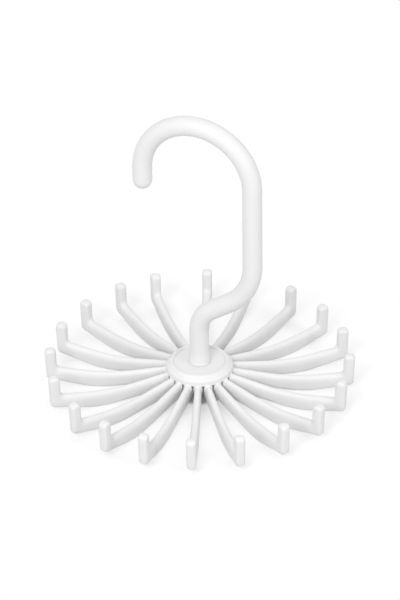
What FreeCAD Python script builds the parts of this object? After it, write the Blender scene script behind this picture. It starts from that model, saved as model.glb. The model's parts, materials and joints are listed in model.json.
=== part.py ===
# Rotating tie hanger: a rack of upturned arms round a hub, and a hook that swivels in the hub.
# Millimetres, +Z up. The origin lies on the swivel axis, on the surface that the arms' feet stand on.
# The hook lies in the XZ plane, with its straight side towards +X.

import FreeCAD, Part
import math
import os
import Sketcher

Vector = FreeCAD.Vector

# Driving dimensions, with what each one measures
DIMENSIONS = [
    ("rod_diameter", 8.0, "hook rod"),
    ("crook_radius", 24.0, "middle of the rod round the half-round crook"),
    ("crook_height", 100.8, "height of the crook's centre"),
    ("tip_drop", 5.4, "straight end of the hook past the crook"),
    ("bend_start", 29.0, "height where the shank starts to bend"),
    ("lower_bend_radius", 13.0, "middle of the rod in the lower bend of the S"),
    ("upper_bend_radius", 24.0, "middle of the rod in the upper bend of the S"),
    ("bend_angle", 55.0, "slope of the S-bend from upright, in degrees"),
    ("foot_flare", 0.4, "how far the shank's foot stands out past the rod"),
    ("foot_height", 5.0, "length of the flared foot"),
    ("journal_diameter", 6.0, "lower end of the shank, which turns in the hub"),
    ("journal_clearance", 0.05, "running clearance round the journal"),
    ("end_play", 0.2, "gap over and under the hub, between hook and washer"),
    ("rim_diameter", 27.7, "outside of the hub's rim"),
    ("rim_height", 4.0, "rim above its seat on the collar and arms"),
    ("shoulder_drop", 2.1, "slope of the rim's shoulder, from the lip down to the outer edge"),
    ("shoulder_width", 2.1, "slope of the rim's shoulder, from the lip out to the outer edge"),
    ("rim_round", 0.6, "rounding of the rim's edges"),
    ("rim_foot_flare", 0.1, "how far the rim's side flares out to its seat"),
    ("lip_width", 0.9, "flat lip round the dish"),
    ("dish_depth", 0.8, "depth of the dish"),
    ("plate_thickness", 2.5, "floor of the dish"),
    ("collar_radius", 10.5, "from the axis to the flats that the arms grow from"),
    ("collar_top", 9.7, "height of the collar, and of the arms under the rim"),
    ("collar_bottom", 3.5, "lower edge of the collar, and of the arms at the collar"),
    ("collar_wall", 2.5, "wall of the collar at its flats"),
    ("boss_diameter", 13.0, "boss round the bore"),
    ("boss_bottom", 5.8, "lower face of the boss"),
    ("washer_diameter", 12.0, "retaining washer"),
    ("washer_thickness", 0.8, "retaining washer"),
    ("washer_play", 0.2, "clearance of the washer's hole round the screw"),
    ("screw_diameter", 3.0, "retaining screw"),
    ("screw_length", 14.0, "retaining screw, under its head"),
    ("screw_head_diameter", 6.4, "pan head"),
    ("screw_head_height", 2.0, "pan head"),
    ("screw_head_round", 0.8, "rounding of the pan head"),
    ("drive_width", 0.9, "bars of the cross recess"),
    ("drive_length", 3.6, "bars of the cross recess"),
    ("drive_depth", 1.2, "cross recess"),
    ("arm_count", 20, "arms round the hub"),
    ("first_arm_angle", 3.0, "direction of the first arm from +X, in degrees"),
    ("arm_root_width", 2.9, "arm at the collar"),
    ("arm_tip_width", 4.3, "arm and peg at the tip"),
    ("arm_edge_round", 1.1, "rounding along the arm's edges"),
    ("arm_level", 1.05, "how far the arm runs level past the rim"),
    ("arm_level_round", 8.0, "rounding at the end of that level run"),
    ("foot_length", 6.0, "arm's foot between its corners"),
    ("foot_offset", 3.5, "how far the foot's middle lies outside the point halfway from that end to the peg"),
    ("foot_round", 20.0, "rounding of the foot's corners"),
    ("dip_offset", 1.0, "how far the dip in the arm's top lies inside that halfway point"),
    ("dip_height", 5.9, "height of the corner where the top of the arm dips"),
    ("dip_round", 80.0, "rounding of the dip"),
    ("tip_height", 3.5, "lower corner of the tip"),
    ("tip_round", 1.6, "rounding of the tip's lower corner"),
    ("peg_circle_radius", 62.0, "from the axis to the middle of the pegs' tops"),
    ("peg_top", 17.6, "height of the pegs"),
    ("peg_depth", 4.6, "peg, measured away from the axis"),
    ("peg_lean", 2.0, "outward lean of the pegs, in degrees"),
    ("peg_round", 1.8, "rounding of the peg's top"),
    ("peg_root_height", 8.5, "inner corner between arm and peg"),
    ("peg_root_round", 2.0, "rounding of that corner"),
    ("arm_06_bend", 2.2, "how far the sixth arm's peg is bent sideways, anticlockwise from above"),
    ("arm_08_bend", 3.0, "how far the eighth arm's peg is bent sideways"),
    ("arm_13_bend", 1.3, "how far the thirteenth arm's peg is bent sideways"),
    ("arm_14_bend", 2.8, "how far the fourteenth arm's peg is bent sideways"),
    ("arm_15_bend", 1.3, "how far the fifteenth arm's peg is bent sideways"),
]

SHEET = "Dimensions"
BENT_ARMS = ("arm_06", "arm_08", "arm_13", "arm_14", "arm_15")

# Sizes that follow from the driving ones, written as expressions of the sheet
RIM_TOP = "(Dimensions.collar_top + Dimensions.rim_height)"
DISH_FLOOR = f"({RIM_TOP} - Dimensions.dish_depth)"
SHOULDER = f"({DISH_FLOOR} + Dimensions.end_play)"
JOURNAL_END = "(Dimensions.boss_bottom - Dimensions.end_play)"
WASHER_BOTTOM = f"({JOURNAL_END} - Dimensions.washer_thickness)"
BORE_RADIUS = "(Dimensions.journal_diameter / 2 + Dimensions.journal_clearance)"
HOLLOW_RADIUS = "(Dimensions.collar_radius - Dimensions.collar_wall)"
ARM_PITCH = "(360 / Dimensions.arm_count)"
RIM_FOOT = "(Dimensions.rim_diameter / 2 + Dimensions.rim_foot_flare)"
LEVEL_END = f"({RIM_FOOT} + Dimensions.arm_level)"
ARM_MIDDLE = f"(({LEVEL_END} + Dimensions.peg_circle_radius) / 2)"
PEG_SLOPE = "tan(Dimensions.peg_lean * 1 deg)"


def make_sheet(doc):
    """Spreadsheet with one named cell for each driving dimension."""
    sheet = doc.addObject("Spreadsheet::Sheet", SHEET)
    for row, (alias, value, meaning) in enumerate(DIMENSIONS, start=1):
        sheet.set(f"A{row}", alias)
        sheet.set(f"B{row}", str(value))
        sheet.setAlias(f"B{row}", alias)
        sheet.set(f"C{row}", meaning)
    doc.recompute()
    return sheet


def bind(obj, **expressions):
    """Ties properties of an object to expressions of the sheet."""
    for name, expression in expressions.items():
        obj.setExpression(name, expression)


def lift(obj, height):
    """Ties an object's height above the floor to an expression."""
    obj.setExpression("Placement.Base.z", height)


def new_sketch(body, name, plane):
    """Empty sketch on one of the body's own origin planes."""
    sketch = body.newObject("Sketcher::SketchObject", name)
    support = next(f for f in body.Origin.OriginFeatures if f.Role == plane)
    sketch.AttachmentSupport = (support, "")
    sketch.MapMode = "FlatFace"
    return sketch


def dimension(sketch, label, expression, kind, *places):
    """Dimension constraint whose value is an expression of the sheet."""
    value = float(sketch.evalExpression(expression))
    if kind == "Angle":
        value = math.radians(value)
        expression = f"{expression} * 1 deg"
    index = sketch.addConstraint(Sketcher.Constraint(kind, *places, value))
    sketch.renameConstraint(index, label)
    sketch.setExpression(f"Constraints.{label}", expression)


def locate(sketch, label, point, across, up):
    """Fixes a sketch point by its distance across and up from the sketch's origin."""
    for axis, kind, expression in (("across", "DistanceX", across), ("up", "DistanceY", up)):
        if abs(float(sketch.evalExpression(expression))) > 1e-9:
            dimension(sketch, f"{label}_{axis}", expression, kind, -1, 1, *point)
        else:
            line = -2 if axis == "across" else -1
            sketch.addConstraint(Sketcher.Constraint("PointOnObject", *point, line))


def corner_arc(before, corner, after, radius):
    """Arc that rounds a corner: its curve, its first and last points, and whether it turns left."""
    come = (corner - before).normalize()
    leave = (after - corner).normalize()
    left = come.cross(leave).z > 0
    reach = radius * math.tan(come.getAngle(leave) / 2)
    first = corner - come * reach
    last = corner + leave * reach
    side = Vector(-come.y, come.x, 0) if left else Vector(come.y, -come.x, 0)
    centre = first + side * radius
    angles = [math.atan2((p - centre).y, (p - centre).x) for p in (first, last)]
    if not left:
        angles.reverse()
    circle = Part.Circle(centre, Vector(0, 0, 1), radius)
    return Part.ArcOfCircle(circle, *angles), first, last, left


def rounded_outline(sketch, corners):
    """Closed outline of straight runs. Each corner is (label, across, up, radius or None)."""
    values = [(float(sketch.evalExpression(a)), float(sketch.evalExpression(u))) for _, a, u, _ in corners]
    points = [Vector(across, up, 0) for across, up in values]
    count = len(corners)
    arcs = {}
    for i, (_, _, _, radius) in enumerate(corners):
        if radius:
            size = float(sketch.evalExpression(radius))
            arcs[i] = corner_arc(points[i - 1], points[i], points[(i + 1) % count], size)
    runs = []
    for i in range(count):
        start = arcs[i][2] if i in arcs else points[i]
        following = (i + 1) % count
        end = arcs[following][1] if following in arcs else points[following]
        runs.append(sketch.addGeometry(Part.LineSegment(start, end), False))
    for i, (label, across, up, radius) in enumerate(corners):
        arriving, leaving = runs[i - 1], runs[i]
        if i not in arcs:
            sketch.addConstraint(Sketcher.Constraint("Coincident", arriving, 2, leaving, 1))
            locate(sketch, label, (leaving, 1), across, up)
            continue
        curve, _, _, left = arcs[i]
        arc = sketch.addGeometry(curve, False)
        enter, leave = (1, 2) if left else (2, 1)
        sketch.addConstraint(Sketcher.Constraint("Tangent", arriving, 2, arc, enter))
        sketch.addConstraint(Sketcher.Constraint("Tangent", arc, leave, leaving, 1))
        dimension(sketch, f"{label}_round", radius, "Radius", arc)
        corner = sketch.addGeometry(Part.Point(points[i]), True)
        sketch.addConstraint(Sketcher.Constraint("PointOnObject", corner, 1, arriving))
        sketch.addConstraint(Sketcher.Constraint("PointOnObject", corner, 1, leaving))
        locate(sketch, label, (corner, 1), across, up)


def revolve(body, name, corners):
    """Solid of revolution about the Z axis, from an outline in the XZ plane."""
    sketch = new_sketch(body, f"{name}_section", "XZ_Plane")
    rounded_outline(sketch, corners)
    feature = body.newObject("PartDesign::Revolution", name)
    feature.Profile = sketch
    feature.ReferenceAxis = (sketch, ["V_Axis"])
    feature.Angle = 360
    return feature


def make_hook_path(body):
    """Middle line of the hook rod: shank, S-bend, straight side, crook and the short drop at its end."""
    sketch = new_sketch(body, "rod_path", "XZ_Plane")

    def size(expression):
        return float(sketch.evalExpression(expression))

    shoulder = size(SHOULDER)
    start = size("Dimensions.bend_start")
    lower_radius = size("Dimensions.lower_bend_radius")
    upper_radius = size("Dimensions.upper_bend_radius")
    slope = math.radians(size("Dimensions.bend_angle"))
    crook = size("Dimensions.crook_radius")
    centre = size("Dimensions.crook_height")
    drop = size("Dimensions.tip_drop")
    bends = lower_radius + upper_radius
    slant = (crook - bends * (1 - math.cos(slope))) / math.sin(slope)
    upper = start + bends * math.sin(slope) + slant * math.cos(slope)
    normal = Vector(0, 0, 1)

    shank_top = Vector(0, start, 0)
    lower_end = Vector(lower_radius * (1 - math.cos(slope)), start + lower_radius * math.sin(slope), 0)
    upper_start = lower_end + Vector(math.sin(slope), math.cos(slope), 0) * slant
    upper_end = Vector(crook, upper, 0)
    crook_start = Vector(crook, centre, 0)
    crook_end = Vector(-crook, centre, 0)

    shank = sketch.addGeometry(Part.LineSegment(Vector(0, shoulder, 0), shank_top), False)
    lower_circle = Part.Circle(Vector(lower_radius, start, 0), normal, lower_radius)
    lower = sketch.addGeometry(Part.ArcOfCircle(lower_circle, math.pi - slope, math.pi), False)
    slanted = sketch.addGeometry(Part.LineSegment(lower_end, upper_start), False)
    upper_circle = Part.Circle(Vector(crook - upper_radius, upper, 0), normal, upper_radius)
    upper_bend = sketch.addGeometry(Part.ArcOfCircle(upper_circle, -slope, 0), False)
    side = sketch.addGeometry(Part.LineSegment(upper_end, crook_start), False)
    crook_circle = Part.Circle(Vector(0, centre, 0), normal, crook)
    half_round = sketch.addGeometry(Part.ArcOfCircle(crook_circle, 0, math.pi), False)
    end = sketch.addGeometry(Part.LineSegment(crook_end, crook_end - Vector(0, drop, 0)), False)

    for joint in ((shank, 2, lower, 2), (lower, 1, slanted, 1), (slanted, 2, upper_bend, 1),
                  (upper_bend, 2, side, 1), (side, 2, half_round, 1), (half_round, 2, end, 1)):
        sketch.addConstraint(Sketcher.Constraint("Tangent", *joint))
    for upright in (shank, side, end):
        sketch.addConstraint(Sketcher.Constraint("Vertical", upright))
    sketch.addConstraint(Sketcher.Constraint("PointOnObject", shank, 1, -2))
    sketch.addConstraint(Sketcher.Constraint("PointOnObject", half_round, 3, -2))
    dimension(sketch, "shoulder", SHOULDER, "DistanceY", -1, 1, shank, 1)
    dimension(sketch, "bend_start", "Dimensions.bend_start", "DistanceY", -1, 1, shank, 2)
    dimension(sketch, "lower_radius", "Dimensions.lower_bend_radius", "Radius", lower)
    dimension(sketch, "upper_radius", "Dimensions.upper_bend_radius", "Radius", upper_bend)
    dimension(sketch, "slope", "(90 - Dimensions.bend_angle)", "Angle", slanted)
    dimension(sketch, "crook_height", "Dimensions.crook_height", "DistanceY", -1, 1, half_round, 3)
    dimension(sketch, "crook_radius", "Dimensions.crook_radius", "Radius", half_round)
    dimension(sketch, "tip_drop", "Dimensions.tip_drop", "Distance", end)
    return sketch


def make_hook(doc):
    """Bent rod with a rounded end, a flared foot, and the journal that turns in the hub."""
    body = doc.addObject("PartDesign::Body", "hook")
    path = make_hook_path(body)
    section = new_sketch(body, "rod_section", "XY_Plane")
    section.setExpression("AttachmentOffset.Base.z", SHOULDER)
    rod_radius = float(section.evalExpression("Dimensions.rod_diameter / 2"))
    circle = section.addGeometry(Part.Circle(Vector(0, 0, 0), Vector(0, 0, 1), rod_radius), False)
    section.addConstraint(Sketcher.Constraint("Coincident", circle, 3, -1, 1))
    dimension(section, "rod", "Dimensions.rod_diameter", "Diameter", circle)
    doc.recompute()
    rod = body.newObject("PartDesign::AdditivePipe", "rod")
    rod.Profile = section
    rod.Spine = (path, [f"Edge{i + 1}" for i in range(len(path.Shape.Edges))])
    doc.recompute()

    tip = body.newObject("PartDesign::AdditiveSphere", "rounded_end")
    bind(tip, Radius="Dimensions.rod_diameter / 2")
    tip.setExpression("Placement.Base.x", "-Dimensions.crook_radius")
    lift(tip, "Dimensions.crook_height - Dimensions.tip_drop")

    rod_edge = "Dimensions.rod_diameter / 2"
    foot_edge = "Dimensions.rod_diameter / 2 + Dimensions.foot_flare"
    foot_top = f"{SHOULDER} + Dimensions.foot_height"
    revolve(body, "foot", [
        ("journal_centre", "0", JOURNAL_END, None),
        ("journal_edge", "Dimensions.journal_diameter / 2", JOURNAL_END, None),
        ("shoulder_inner", "Dimensions.journal_diameter / 2", SHOULDER, None),
        ("shoulder_outer", foot_edge, SHOULDER, None),
        ("foot_edge", rod_edge, foot_top, None),
        ("foot_centre", "0", foot_top, None),
    ])
    doc.recompute()
    pilot = body.newObject("PartDesign::SubtractiveCylinder", "pilot_hole")
    bind(pilot, Radius="Dimensions.screw_diameter / 2",
         Height="Dimensions.screw_length - Dimensions.washer_thickness")
    lift(pilot, JOURNAL_END)
    return body


def make_collar(doc):
    """Many-sided ring under the hub, with a flat for each arm."""
    body = doc.addObject("PartDesign::Body", "collar")
    height = "Dimensions.collar_top - Dimensions.collar_bottom"
    ring = body.newObject("PartDesign::AdditivePrism", "flats")
    bind(ring, Polygon="Dimensions.arm_count", Height=height,
         Circumradius=f"Dimensions.collar_radius / cos({ARM_PITCH} / 2 * 1 deg)")
    ring.setExpression("Placement.Rotation.Angle", f"Dimensions.first_arm_angle + {ARM_PITCH} / 2")
    lift(ring, "Dimensions.collar_bottom")
    doc.recompute()
    hollow = body.newObject("PartDesign::SubtractiveCylinder", "hollow")
    bind(hollow, Radius=HOLLOW_RADIUS, Height=height)
    lift(hollow, "Dimensions.collar_bottom")
    return body


def make_hub(doc):
    """Rim with its dish, and the boss round the bore."""
    body = doc.addObject("PartDesign::Body", "hub")
    plate_under = f"{DISH_FLOOR} - Dimensions.plate_thickness"
    rim_outside = "Dimensions.rim_diameter / 2"
    lip_edge = f"{rim_outside} - Dimensions.shoulder_width"
    dish_edge = f"{lip_edge} - Dimensions.lip_width"
    lip_round = "min(Dimensions.rim_round; 0.5 * Dimensions.lip_width; 0.8 * Dimensions.dish_depth)"
    revolve(body, "rim_and_boss", [
        ("boss_inner", BORE_RADIUS, "Dimensions.boss_bottom", None),
        ("boss_outer", "Dimensions.boss_diameter / 2", "Dimensions.boss_bottom", None),
        ("boss_root", "Dimensions.boss_diameter / 2", plate_under, None),
        ("plate_edge", HOLLOW_RADIUS, plate_under, None),
        ("seat_inner", HOLLOW_RADIUS, "Dimensions.collar_top", None),
        ("seat_outer", RIM_FOOT, "Dimensions.collar_top", None),
        ("rim_edge", rim_outside, f"{RIM_TOP} - Dimensions.shoulder_drop", "Dimensions.rim_round"),
        ("lip_outer", lip_edge, RIM_TOP, lip_round),
        ("lip_inner", dish_edge, RIM_TOP, lip_round),
        ("dish_edge", dish_edge, DISH_FLOOR, None),
        ("dish_centre", BORE_RADIUS, DISH_FLOOR, None),
    ])
    return body


def make_washer(doc):
    """Flat ring under the boss, which turns with the hook."""
    body = doc.addObject("PartDesign::Body", "retaining_washer")
    hole = "Dimensions.screw_diameter / 2 + Dimensions.washer_play"
    revolve(body, "ring", [
        ("lower_inner", hole, WASHER_BOTTOM, None),
        ("lower_outer", "Dimensions.washer_diameter / 2", WASHER_BOTTOM, None),
        ("upper_outer", "Dimensions.washer_diameter / 2", JOURNAL_END, None),
        ("upper_inner", hole, JOURNAL_END, None),
    ])
    return body


def make_screw(doc):
    """Pan-head screw that holds the washer to the end of the journal."""
    body = doc.addObject("PartDesign::Body", "retaining_screw")
    head_bottom = f"{WASHER_BOTTOM} - Dimensions.screw_head_height"
    screw_end = f"{WASHER_BOTTOM} + Dimensions.screw_length"
    revolve(body, "pan_head_and_shaft", [
        ("head_centre", "0", head_bottom, None),
        ("head_edge", "Dimensions.screw_head_diameter / 2", head_bottom, "Dimensions.screw_head_round"),
        ("head_seat", "Dimensions.screw_head_diameter / 2", WASHER_BOTTOM, None),
        ("shaft_root", "Dimensions.screw_diameter / 2", WASHER_BOTTOM, None),
        ("shaft_end", "Dimensions.screw_diameter / 2", screw_end, None),
        ("shaft_centre", "0", screw_end, None),
    ])
    doc.recompute()
    for name, length, width in (("recess_along", "drive_length", "drive_width"),
                                ("recess_across", "drive_width", "drive_length")):
        bar = body.newObject("PartDesign::SubtractiveBox", name)
        bind(bar, Length=f"Dimensions.{length}", Width=f"Dimensions.{width}", Height="Dimensions.drive_depth")
        bar.setExpression("Placement.Base.x", f"-Dimensions.{length} / 2")
        bar.setExpression("Placement.Base.y", f"-Dimensions.{width} / 2")
        lift(bar, head_bottom)
        doc.recompute()
    return body


def edges_to_round(shape, root):
    """Names of the edges round the arm's two flanks, its largest faces, apart from those of its root face."""
    flanks = sorted(shape.Faces, key=lambda face: face.Area)[-2:]
    names = []
    for number, edge in enumerate(shape.Edges, start=1):
        on_flank = any(edge.isSame(other) for flank in flanks for other in flank.Edges)
        on_root = all(abs(vertex.Point.x - root) < 1e-4 for vertex in edge.Vertexes)
        if on_flank and not on_root:
            names.append(f"Edge{number}")
    return names


def make_arm(doc, name, bend):
    """Blade that sags to a flat foot and turns up into a peg: drawn from the side, tapered in plan."""
    body = doc.addObject("PartDesign::Body", name)
    outer = "Dimensions.peg_circle_radius + Dimensions.peg_depth / 2"
    inner = "Dimensions.peg_circle_radius - Dimensions.peg_depth / 2"
    tip_in = f"{PEG_SLOPE} * (Dimensions.peg_top - Dimensions.tip_height)"
    root_in = f"{PEG_SLOPE} * (Dimensions.peg_top - Dimensions.peg_root_height)"
    peg_root = f"{inner} - {root_in}"
    peg_round = "min(Dimensions.peg_round; 0.4 * Dimensions.peg_depth)"
    dip = f"({ARM_MIDDLE} - Dimensions.dip_offset)"
    fall = f"({dip} - {LEVEL_END})"
    rise = f"({peg_root} - {dip})"
    fall_slope = f"atan((Dimensions.collar_top - Dimensions.dip_height) / {fall})"
    rise_slope = f"atan((Dimensions.peg_root_height - Dimensions.dip_height) / {rise})"
    dip_room = f"0.8 * min({fall}; {rise}) / tan(({fall_slope} + {rise_slope}) / 2)"
    foot = f"({ARM_MIDDLE} + Dimensions.foot_offset)"
    sketch = new_sketch(body, "side_view", "XZ_Plane")
    rounded_outline(sketch, [
        ("root_bottom", "Dimensions.collar_radius", "Dimensions.collar_bottom", None),
        ("foot_start", f"{foot} - Dimensions.foot_length / 2", "0", "Dimensions.foot_round"),
        ("foot_end", f"{foot} + Dimensions.foot_length / 2", "0", "Dimensions.foot_round"),
        ("tip", f"{outer} - {tip_in}", "Dimensions.tip_height", "Dimensions.tip_round"),
        ("peg_outer", outer, "Dimensions.peg_top", peg_round),
        ("peg_inner", inner, "Dimensions.peg_top", peg_round),
        ("peg_root", peg_root, "Dimensions.peg_root_height", "Dimensions.peg_root_round"),
        ("dip", dip, "Dimensions.dip_height", f"min(Dimensions.dip_round; {dip_room})"),
        ("level_end", LEVEL_END, "Dimensions.collar_top", "Dimensions.arm_level_round"),
        ("root_top", "Dimensions.collar_radius", "Dimensions.collar_top", None),
    ])
    blade = body.newObject("PartDesign::Pad", "blade")
    blade.Profile = sketch
    blade.SideType = "Symmetric"
    half_span = f"(max(Dimensions.arm_tip_width; Dimensions.arm_root_width) + abs({bend}))"
    bind(blade, Length=f"2 * {half_span}")
    doc.recompute()

    reach = f"({outer} + Dimensions.peg_depth)"
    arm_length = "(Dimensions.peg_circle_radius - Dimensions.collar_radius)"
    drift = f"{bend} * ({reach} - Dimensions.collar_radius) / {arm_length}"
    for side, sign in (("left", "1"), ("right", "-1")):
        plan = new_sketch(body, f"{side}_taper", "XY_Plane")
        rounded_outline(plan, [
            ("root", "Dimensions.collar_radius", f"{sign} * Dimensions.arm_root_width / 2", None),
            ("tip", reach, f"{drift} + {sign} * Dimensions.arm_tip_width / 2", None),
            ("tip_out", reach, f"{sign} * 2 * {half_span}", None),
            ("root_out", "Dimensions.collar_radius", f"{sign} * 2 * {half_span}", None),
        ])
        cut = body.newObject("PartDesign::Pocket", f"{side}_side")
        cut.Profile = plan
        cut.Type = "ThroughAll"
        cut.SideType = "Symmetric"
        doc.recompute()

    rounded = body.newObject("PartDesign::Fillet", "rounded_edges")
    root = float(rounded.evalExpression("Dimensions.collar_radius"))
    rounded.Base = (cut, edges_to_round(cut.Shape, root))
    narrowest = "min(Dimensions.arm_tip_width; Dimensions.arm_root_width)"
    tightest = f"min(Dimensions.tip_round; {peg_round})"
    bind(rounded, Radius=f"min(Dimensions.arm_edge_round; 0.45 * {narrowest}; 0.9 * {tightest})")
    doc.recompute()
    return body


def make_arms(doc, count):
    """Arms all round the hub: a straight one, its placed copies, and the few that are bent."""
    straight = make_arm(doc, "arm_01", "0")
    arms = [straight]
    for number in range(2, count + 1):
        name = f"arm_{number:02d}"
        if name in BENT_ARMS:
            arm = make_arm(doc, name, f"Dimensions.{name}_bend")
        else:
            arm = doc.addObject("App::Link", name)
            arm.LinkedObject = straight
        arms.append(arm)
    for step, arm in enumerate(arms):
        arm.setExpression("Placement.Rotation.Angle", f"Dimensions.first_arm_angle + {step} * {ARM_PITCH}")
    return arms


def main():
    doc = FreeCAD.newDocument("tie_hanger")
    sheet = make_sheet(doc)
    pieces = [make_hook(doc), make_hub(doc), make_collar(doc), make_washer(doc), make_screw(doc)]
    pieces += make_arms(doc, int(sheet.arm_count))
    for piece in pieces:
        piece.Label = piece.Name
    doc.recompute()

    for obj in doc.Objects:
        if "Invalid" in obj.State or "Error" in obj.State:
            raise RuntimeError(f"{obj.Name} failed: {obj.State}")
    for piece in pieces:
        if piece.Shape.isNull() or not piece.Shape.isValid() or len(piece.Shape.Solids) != 1:
            raise RuntimeError(f"{piece.Label} is not one valid solid")

    os.makedirs("parts", exist_ok=True)
    for piece in pieces:
        piece.Shape.exportStep(os.path.join("parts", f"{piece.Label}.step"))
        print(f"{piece.Label}: {piece.Shape.Volume:.1f} mm3")


main()
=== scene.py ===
# %% [markdown]
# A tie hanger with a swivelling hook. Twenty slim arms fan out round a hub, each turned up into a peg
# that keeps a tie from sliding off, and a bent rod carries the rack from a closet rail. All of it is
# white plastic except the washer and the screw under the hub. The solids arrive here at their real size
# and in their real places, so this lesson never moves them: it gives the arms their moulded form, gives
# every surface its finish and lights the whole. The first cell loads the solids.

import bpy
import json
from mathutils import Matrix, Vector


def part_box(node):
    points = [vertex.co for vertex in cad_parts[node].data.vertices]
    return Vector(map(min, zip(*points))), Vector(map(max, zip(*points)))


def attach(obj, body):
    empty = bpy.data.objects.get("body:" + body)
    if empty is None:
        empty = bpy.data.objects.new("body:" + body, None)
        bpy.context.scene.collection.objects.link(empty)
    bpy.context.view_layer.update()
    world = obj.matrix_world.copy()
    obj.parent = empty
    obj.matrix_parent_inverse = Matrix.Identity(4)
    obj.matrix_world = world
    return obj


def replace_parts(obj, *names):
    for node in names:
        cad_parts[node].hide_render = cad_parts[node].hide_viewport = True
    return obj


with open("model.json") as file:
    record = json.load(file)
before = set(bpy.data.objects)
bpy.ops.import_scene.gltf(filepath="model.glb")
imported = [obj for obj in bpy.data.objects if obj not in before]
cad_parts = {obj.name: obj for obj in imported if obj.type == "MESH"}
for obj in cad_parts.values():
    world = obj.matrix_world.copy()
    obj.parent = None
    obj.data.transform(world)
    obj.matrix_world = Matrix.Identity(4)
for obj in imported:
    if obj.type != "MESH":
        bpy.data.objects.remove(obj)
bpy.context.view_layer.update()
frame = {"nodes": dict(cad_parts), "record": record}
MM = 0.001


arm_names = sorted(name for name in frame["nodes"] if name.startswith("arm_"))
print("solids:", len(frame["nodes"]), "of which arms:", len(arm_names))

# %% [markdown]
# Every finish below is a small tree of nodes, and most of its lines would only say "make a node, set its
# values, join it up". The first three helpers say that once, and the fourth puts a finish on a solid. A
# pattern reads Object coordinates: each piece sits at the origin, so these are metres in the hanger's own
# frame, and the pattern turns with the hook.

# %% Helpers for node trees
import bpy


def add_node(tree, kind, **values):
    node = tree.nodes.new(kind)
    for name, value in values.items():
        if name in node.inputs:
            node.inputs[name].default_value = value
        else:
            setattr(node, name, value)
    return node


def join(tree, source, output, target, entry):
    tree.links.new(source.outputs[output], target.inputs[entry])


def new_finish(name):
    finish = bpy.data.materials.new(name)
    finish.use_nodes = True
    tree = finish.node_tree
    shader = tree.nodes["Principled BSDF"]
    place = add_node(tree, "ShaderNodeTexCoord")
    return finish, tree, shader, place


def coat(name, finish):
    materials = frame["nodes"][name].data.materials
    materials.clear()
    materials.append(finish)


print("helpers ready in Blender", bpy.app.version_string)

# %% [markdown]
# A real surface is never the same all over: its colour is a little cloudy, its polish patchy and its skin
# not quite flat. A painted picture could carry that, but a noise needs no picture and has no seams. One
# helper makes a noise of a given grain. Three more let a pattern mix two colours, move the roughness
# between two values, and raise a bump.

# %% Helpers for uneven surfaces
noise_roughness = 0.55


def noise_of(tree, place, grain, detail):
    noise = add_node(tree, "ShaderNodeTexNoise", Scale=1 / grain, Detail=detail, Roughness=noise_roughness)
    join(tree, place, "Object", noise, "Vector")
    return noise


def mix_colours(tree, shader, pattern, dark, light):
    mix = add_node(tree, "ShaderNodeMix", data_type="RGBA")
    mix.inputs["A"].default_value = (*dark, 1)
    mix.inputs["B"].default_value = (*light, 1)
    join(tree, pattern, "Fac", mix, "Factor")
    join(tree, mix, "Result", shader, "Base Color")


def vary_polish(tree, shader, pattern, smooth, rough, low=0.0, high=1.0):
    limits = {"From Min": low, "From Max": high, "To Min": smooth, "To Max": rough}
    polish = add_node(tree, "ShaderNodeMapRange", **limits)
    join(tree, pattern, "Fac", polish, "Value")
    join(tree, polish, "Result", shader, "Roughness")


def raise_bump(tree, shader, pattern, strength, height):
    bump = add_node(tree, "ShaderNodeBump", Strength=strength, Distance=height)
    join(tree, pattern, "Fac", bump, "Height")
    join(tree, bump, "Normal", shader, "Normal")


print("helpers ready for colour, polish and bump")

# %% [markdown]
# The rack and the hook are moulded from white polypropylene, a satin plastic. Three noises make it look
# moulded. A broad one clouds the white by a percent or two, as cooling plastic does. A finer one makes
# the polish patchy, because the mould's own polish is. The finest raises a faint bump, which breaks up
# the reflections the way orange peel does. A plain colour would look like paper.

# %% White moulded plastic
plastic_dark = (0.77, 0.77, 0.773)
plastic_light = (0.81, 0.81, 0.813)
polypropylene_ior = 1.49


def moulded_plastic(name):
    finish, tree, shader, place = new_finish(name)
    clouds = noise_of(tree, place, grain=18 * MM, detail=3)
    mix_colours(tree, shader, clouds, plastic_dark, plastic_light)
    patches = noise_of(tree, place, grain=4 * MM, detail=2)
    vary_polish(tree, shader, patches, smooth=0.42, rough=0.54, low=0.3, high=0.7)
    peel = noise_of(tree, place, grain=0.9 * MM, detail=2)
    raise_bump(tree, shader, peel, strength=0.12, height=0.04 * MM)
    shader.inputs["IOR"].default_value = polypropylene_ior
    return finish


rack_plastic = moulded_plastic("white_rack_plastic")
rack_names = frame["record"]["behaviour"]["bodies"]["rack"]
for name in rack_names:
    coat(name, rack_plastic)
print("white rack plastic on", len(rack_names), "solids")

# %% [markdown]
# The hook is a moulding of its own, from the same plastic. It is handled far more than the rack, so it
# gets a material of its own: then its polish can differ, and a scene that repaints the rack leaves the
# hook alone.

# %% The hook's plastic
hook_plastic = moulded_plastic("white_hook_plastic")
coat("hook", hook_plastic)
print("white hook plastic on the hook")

# %% [markdown]
# The washer and the pan-head screw under the hub are zinc-plated steel. Plating is dull and a little
# blotchy, so one noise moves its colour and its roughness together. Turning leaves fine rings round the
# axis, about five to the millimetre, and a wave texture of rings about Z gives those to the bump.

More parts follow.
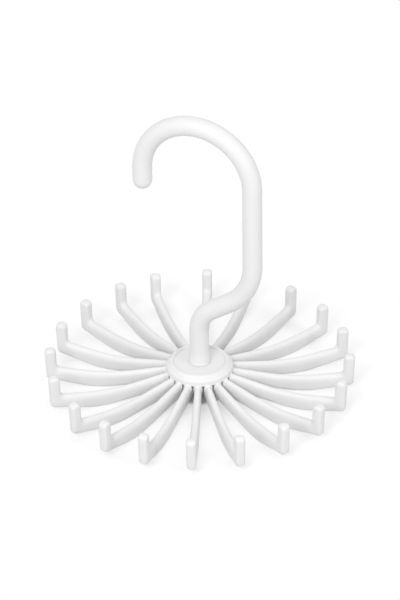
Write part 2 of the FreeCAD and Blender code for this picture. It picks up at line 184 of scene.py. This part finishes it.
# %% Zinc-plated steel
zinc_dark = (0.50, 0.51, 0.53)
zinc_light = (0.66, 0.67, 0.68)
ring_scale = 1500
ring_wobble = 1.5
zinc_steel, tree, shader, place = new_finish("zinc_plated_steel")
shader.inputs["Metallic"].default_value = 1
blotches = noise_of(tree, place, grain=1.6 * MM, detail=4)
mix_colours(tree, shader, blotches, zinc_dark, zinc_light)
vary_polish(tree, shader, blotches, smooth=0.28, rough=0.5)
turned = add_node(tree, "ShaderNodeTexWave", wave_type="RINGS", rings_direction="Z",
                  Scale=ring_scale, Distortion=ring_wobble)
join(tree, place, "Object", turned, "Vector")
raise_bump(tree, shader, turned, strength=0.15, height=0.02 * MM)
for name in ("retaining_washer", "retaining_screw"):
    coat(name, zinc_steel)
print("zinc plating on the washer and the screw")

# %% [markdown]
# The solid arms have flat flanks with eased edges. The moulded ones are rounder: light runs off the top
# and down the flank without a break. So each solid arm is replaced by a moulded one with the same course,
# height and width. All arms are alike but for a few bends, so one is measured. A copy of it is turned
# onto the X axis, and a plane that cuts it gives the middle, the height and the width of the arm there.
# Copying such numbers by hand would do too, but cutting keeps them true.

# %% A solid arm to measure
import bmesh
import math
from mathutils import Matrix, Vector

first_arm_angle = math.radians(3)
onto_x = Matrix.Rotation(-first_arm_angle, 3, "Z")
same_corner = 0.001 * MM
side = Vector((0, 1, 0))
solid = bmesh.new()
solid.from_mesh(frame["nodes"]["arm_01"].data)
bmesh.ops.remove_doubles(solid, verts=solid.verts, dist=same_corner)
bmesh.ops.rotate(solid, cent=(0, 0, 0), matrix=onto_x, verts=solid.verts)
root = min(vert.co.x for vert in solid.verts)
peg_top = max(vert.co.z for vert in solid.verts)


def section(point, up):
    cut = solid.copy()
    whole = cut.verts[:] + cut.edges[:] + cut.faces[:]
    found = bmesh.ops.bisect_plane(cut, geom=whole, plane_co=point, plane_no=up.cross(side))["geom_cut"]
    corners = [item.co.copy() for item in found if isinstance(item, bmesh.types.BMVert)]
    cut.free()
    reach = [(corner - point).dot(up) for corner in corners]
    middle = point + up * (min(reach) + max(reach)) / 2
    tall = (max(reach) - min(reach)) / 2
    wide = max(abs(corner.y) for corner in corners)
    return middle, up, tall, wide


print("solid arm: root at", round(root / MM, 2), "mm, peg's top at", round(peg_top / MM, 2), "mm")

# %% [markdown]
# The cuts follow the arm: upright ones along the blade, a fan of them round the corner, level ones up the
# peg, closer together in its rounded top. Upright cuts alone would be simpler, but they would meet the
# peg along its length and lose its form. A cut right at an end could miss the solid, so the end cuts lie
# a hair inside it. Outside the rim the blade starts at the toe of a sweep, a small hollow that the next
# cell makes.

# %% Sections along the arm
upright = Vector((0, 0, 1))
inward = Vector((-1, 0, 0))
quarter_turn = math.pi / 2
hair = 0.02 * MM
corner_centre = Vector((57.4, 0, 10.5)) * MM
peg_round = 1.8 * MM
rim_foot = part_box("hub")[1][0]
sweep_radius = 1.1 * MM
sweep_overlap = 0.2 * MM
toe = rim_foot + sweep_radius - sweep_overlap
near_root = 1.7 * MM
near_rim = 0.7 * MM
hidden_cuts = (root + hair, root + near_root, rim_foot - near_rim)
blade_steps = 24
fan_steps = 10
peg_steps = 4
top_steps = 7
under_rim = [section(Vector((x, 0, 0)), upright) for x in hidden_cuts]
blade = [section(Vector((toe + (corner_centre.x - toe) * step / blade_steps, 0, 0)), upright)
         for step in range(1, blade_steps)]
fan = [section(corner_centre, Matrix.Rotation(-quarter_turn * step / fan_steps, 3, "Y") @ upright)
       for step in range(fan_steps + 1)]
straight = peg_top - peg_round - corner_centre.z
levels = [corner_centre.z + straight * step / peg_steps for step in range(1, peg_steps + 1)]
levels += [peg_top - peg_round * (1 - math.sin(quarter_turn * step / top_steps))
           for step in range(1, top_steps)]
levels.append(peg_top - hair)
peg = [section(Vector((0, 0, level)), inward) for level in levels]
print("sections:", len(under_rim), "under the rim,", len(blade), "along the blade")
print("and", len(fan), "round the corner,", len(peg), "up the peg")

# %% [markdown]
# A ring is set at each section, and the rings are bridged into a skin. A ring starts as a circle, and a
# power on its coordinates makes it fuller: 2 gives an ellipse, and the higher the power, the nearer it
# comes to a box. Each ring has one power above and one below. The blade is round above and full below,
# the tip is rounder below, and the peg is the same all round. On the real rack hub and arms are one
# moulding, so an arm doesn't meet the rim at a sharp corner: its top sweeps up into the rim's side with a
# small hollow radius, and grows wider until it meets its neighbours. A few rings close to the rim carry
# that. They rise along a quarter circle, and the highest of them is inside the rim.

# %% One moulded arm
blade_powers = Vector((2.3, 5.0))
tip_powers = Vector((2.4, 3.0))
peg_powers = Vector((3.0, 3.0))
tip_onset = 10
ring_corners = 40
sweep_steps = 8
sweep_flare = 0.68 * MM
moulded = bmesh.new()


def add_ring(middle, up, tall, wide, powers=blade_powers, rise=0.0, flare=0.0):
    ring = bmesh.ops.create_circle(moulded, segments=ring_corners, radius=1)["verts"]
    for vert in ring:
        fullness = 2 / powers[0 if vert.co.y > 0 else 1]
        across, high = (math.copysign(abs(part) ** fullness, part) for part in vert.co.xy)
        upper = max(high, 0)
        sideways = side * across * (wide + flare * math.sqrt(upper))
        vert.co = middle + sideways + up * (tall * high + rise * upper)
    return list(dict.fromkeys(edge for vert in ring for edge in vert.link_edges))


rings = [add_ring(*found) for found in under_rim]
for step in range(sweep_steps + 1):
    angle = quarter_turn * (1 - step / sweep_steps)
    found = section(Vector((toe - sweep_radius * math.sin(angle), 0, 0)), upright)
    share = 1 - math.cos(angle)
    rings.append(add_ring(*found, rise=sweep_radius * share, flare=sweep_flare * share))
for step, found in enumerate(blade):
    rings.append(add_ring(*found, powers=blade_powers.lerp(tip_powers, (step / blade_steps) ** tip_onset)))
for step, found in enumerate(fan):
    rings.append(add_ring(*found, powers=tip_powers.lerp(peg_powers, step / fan_steps)))
rings += [add_ring(*found, powers=peg_powers) for found in peg]
for before, after in zip(rings, rings[1:]):
    bmesh.ops.bridge_loops(moulded, edges=before + after)
for end in (rings[0], rings[-1]):
    bmesh.ops.edgeloop_fill(moulded, edges=end)
bmesh.ops.recalc_face_normals(moulded, faces=moulded.faces)
solid.free()
open_edges = sum(not edge.is_manifold for edge in moulded.edges)
print("one arm:", len(moulded.faces), "faces,", open_edges, "open edges")

# %% [markdown]
# Twenty copies go round the hub. Equal turns would do for a perfect rack, but a few arms of this one are
# bent sideways. So each solid arm is asked where its peg is: the middle of its highest corners, seen
# along the arm. A shear bends the copy by as much, and a turn about the axis sets it in its place. Each
# copy is a piece of its own, rides on the rack and stands for its solid.

# %% A moulded arm for every solid one
crease_angle = math.radians(40)
top_depth = 0.5 * MM
least_bend = 0.1 * MM


def add_object(name, data):
    thing = bpy.data.objects.new(name, data)
    bpy.context.scene.collection.objects.link(thing)
    return thing


def finish_piece(mesh_data, name, body, finish):
    mesh = bpy.data.meshes.new(name)
    mesh_data.to_mesh(mesh)
    mesh_data.free()
    mesh.materials.append(finish)
    mesh.shade_smooth()
    mesh.set_sharp_from_angle(angle=crease_angle)
    piece = add_object(name, mesh)
    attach(piece, body)
    return piece


bends = {}
for index, name in enumerate(arm_names):
    turn = Matrix.Rotation(first_arm_angle + 2 * math.pi * index / len(arm_names), 4, "Z")
    corners = [vert.co for vert in frame["nodes"][name].data.vertices]
    top = [turn.inverted() @ corner for corner in corners if corner.z > peg_top - top_depth]
    peg_middle = (Vector(map(min, *top)) + Vector(map(max, *top))) / 2
    lean = Matrix.Identity(4)
    lean[1][0] = peg_middle.y / (peg_middle.x - root)
    lean[1][3] = -lean[1][0] * root
    copy = moulded.copy()
    bmesh.ops.transform(copy, matrix=turn @ lean, verts=copy.verts)
    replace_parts(finish_piece(copy, f"{name}_moulded", "rack", rack_plastic), name)
    if abs(peg_middle.y) > least_bend:
        bends[name] = round(peg_middle.y / MM, 1)
moulded.free()
print("moulded arms:", len(arm_names), "of which bent, in mm:", bends)

# %% [markdown]
# Floor and studio should look pure white, yet they must not throw a flood of light at the hanger, or the
# shaded flanks of the arms would fade. A dimmer studio alone would turn the background grey. So both ask
# what kind of ray is looking. The camera, mirror-like reflections and rays through glass see white. All
# other rays, which carry light from one surface to the next, see something dimmer.

# %% White to the camera, dimmer to other rays
def seen_rays(tree):
    rays = add_node(tree, "ShaderNodeLightPath")
    sum_of_two = add_node(tree, "ShaderNodeMath", operation="ADD")
    join(tree, rays, "Is Camera Ray", sum_of_two, 0)
    join(tree, rays, "Is Glossy Ray", sum_of_two, 1)
    sum_of_all = add_node(tree, "ShaderNodeMath", operation="ADD", use_clamp=True)
    join(tree, sum_of_two, "Value", sum_of_all, 0)
    join(tree, rays, "Is Transmission Ray", sum_of_all, 1)
    return sum_of_all


def show_by_ray(tree, dim, bright, out):
    both = add_node(tree, "ShaderNodeMixShader")
    join(tree, seen_rays(tree), "Value", both, 0)
    join(tree, dim, 0, both, 1)
    join(tree, bright, 0, both, 2)
    join(tree, both, "Shader", out, "Surface")


print("helpers ready for rays that see white")

# %% [markdown]
# The floor is white paper that keeps a soft shadow under the rack. Light alone would leave the paper grey
# where the lamps fall off, so to the camera it also glows, by the distance from the axis. Under the hub
# there is no glow and the shade stays deep. Under the arms the glow leaves a faint shade, under the pegs
# a little more of it, and well outside the rack it takes over, so the background is white.

# %% Paper for the floor
white = (1, 1, 1, 1)
paper_grey = 0.62
glow_reach = 120 * MM
glow_by_radius_mm = ((11.3, 0.0), (13.8, 0.5), (30, 0.7), (52, 0.7), (60, 0.4), (68, 0.5), (110, 1.0))
paper, tree, shader, place = new_finish("paper_floor")
tree.nodes.remove(shader)
span = add_node(tree, "ShaderNodeVectorMath", operation="LENGTH")
join(tree, place, "Object", span, 0)
share = add_node(tree, "ShaderNodeMath", operation="DIVIDE")
join(tree, span, "Value", share, 0)
share.inputs[1].default_value = glow_reach
glow = add_node(tree, "ShaderNodeValToRGB")
glow.color_ramp.interpolation = "EASE"
stops = glow.color_ramp.elements
while len(stops) < len(glow_by_radius_mm):
    stops.new(1.0)
for stop, (radius, strength) in zip(stops, glow_by_radius_mm):
    stop.position = radius * MM / glow_reach
    stop.color = (strength, strength, strength, 1)
join(tree, share, "Value", glow, "Fac")
lit = add_node(tree, "ShaderNodeBsdfDiffuse", Color=white)
glowing = add_node(tree, "ShaderNodeEmission", Color=white, Strength=1)
bright = add_node(tree, "ShaderNodeMixShader")
join(tree, glow, "Color", bright, 0)
join(tree, lit, "BSDF", bright, 1)
join(tree, glowing, "Emission", bright, 2)
grey = add_node(tree, "ShaderNodeBsdfDiffuse", Color=(paper_grey, paper_grey, paper_grey, 1))
show_by_ray(tree, grey, bright, tree.nodes["Material Output"])
print("paper: glow set at", len(stops), "distances from the axis")

# %% [markdown]
# The sheet itself is one flat square, large enough that its edge is never in the picture. It lies a
# little under the feet of the arms, because two faces at the same height fight over which of them shows.

# %% Sheet on the floor
floor_half = 3.0
under_feet = 0.05 * MM
sheet = bmesh.new()
bmesh.ops.create_grid(sheet, x_segments=1, y_segments=1, size=floor_half)
bmesh.ops.translate(sheet, vec=(0, 0, -under_feet), verts=sheet.verts)
floor_mesh = bpy.data.meshes.new("floor")
sheet.to_mesh(floor_mesh)
sheet.free()
floor_mesh.materials.append(paper)
floor = add_object("floor", floor_mesh)
print("floor:", 2 * floor_half, "m square, just under the feet of the arms")

# %% [markdown]
# The photograph has even studio light, as in a tent of white cloth, with light from all round. Many lamps
# could stand round the hanger, but the world does the same in one piece. Like the floor it is white to
# the camera and dimmer to other rays.

# %% Studio of white cloth
cloth_strength = 0.79
world = bpy.data.worlds.new("studio")
bpy.context.scene.world = world
world.use_nodes = True
tree = world.node_tree
tree.nodes.clear()
cloth = add_node(tree, "ShaderNodeBackground", Color=white, Strength=cloth_strength)
backdrop = add_node(tree, "ShaderNodeBackground", Color=white, Strength=1)
show_by_ray(tree, cloth, backdrop, add_node(tree, "ShaderNodeOutputWorld"))
print("studio: cloth of strength", cloth_strength, "round the hanger")

# %% [markdown]
# A little more light comes from the front on the left, and some from the right. Two broad lamps add that:
# a lamp as small as a bulb would give hard shadows, which the photograph doesn't have. Lamps and camera
# are placed as the photographer sees it, in metres to the right, to the back and up from the middle of
# the floor.

# %% Broad lamps
view_turn = math.radians(24.5)
to_right = Vector((math.cos(view_turn), math.sin(view_turn), 0))
to_back = Vector((-math.sin(view_turn), math.cos(view_turn), 0))
lamp_target = Vector((0, 0, 0.03))


def spot_at(right, back, up):
    return to_right * right + to_back * back + Vector((0, 0, up))


def soft_lamp(name, spot, size, watts):
    light = bpy.data.lights.new(name, "AREA")
    light.shape = "DISK"
    light.size = size
    light.energy = watts
    lamp = add_object(name, light)
    lamp.location = spot
    aim = lamp_target - lamp.location
    lamp.rotation_euler = aim.to_track_quat("-Z", "Y").to_euler()
    return lamp


lamps = [
    soft_lamp("lamp_front", spot_at(right=-0.4, back=-1.05, up=0.9), size=0.6, watts=7.5),
    soft_lamp("lamp_right", spot_at(right=0.9, back=-0.8, up=0.8), size=0.4, watts=2.6),
]
print("lamps:", [lamp.name for lamp in lamps])

# %% [markdown]
# The camera stands where the photograph was taken from: 24.5 degrees round to the right from facing the
# hook squarely, 1.3 metres away, looking down at about 33 degrees. A long lens from that distance keeps
# the far pegs nearly as large as the near ones. The picture is 400 by 600, so the 36 mm sensor lies along
# its height.

# %% Camera
picture_height = 600
focal_pixels = 3149
look_down = math.radians(33.4)
roll = math.radians(-0.85)
camera_data = bpy.data.cameras.new("camera")
camera_data.sensor_width = 36
camera_data.lens = focal_pixels / picture_height * camera_data.sensor_width
camera = add_object("camera", camera_data)
spot = spot_at(right=0.00056, back=-1.07344, up=0.75099)
turn = Matrix.Rotation(view_turn, 4, "Z") @ Matrix.Rotation(quarter_turn - look_down, 4, "X")
camera.matrix_world = Matrix.Translation(spot) @ turn @ Matrix.Rotation(roll, 4, "Z")
bpy.context.scene.camera = camera
bpy.context.scene.view_settings.view_transform = "Standard"
print("lens:", round(camera_data.lens, 1), "mm, at", [round(x, 3) for x in camera.location])

# %% [markdown]
# Last, the box that the finished hanger fills should agree with the box of the bare solids to less than
# a tenth of a millimetre, because the moulded arms reach as far as the solid ones.

# %% Last cell
import json
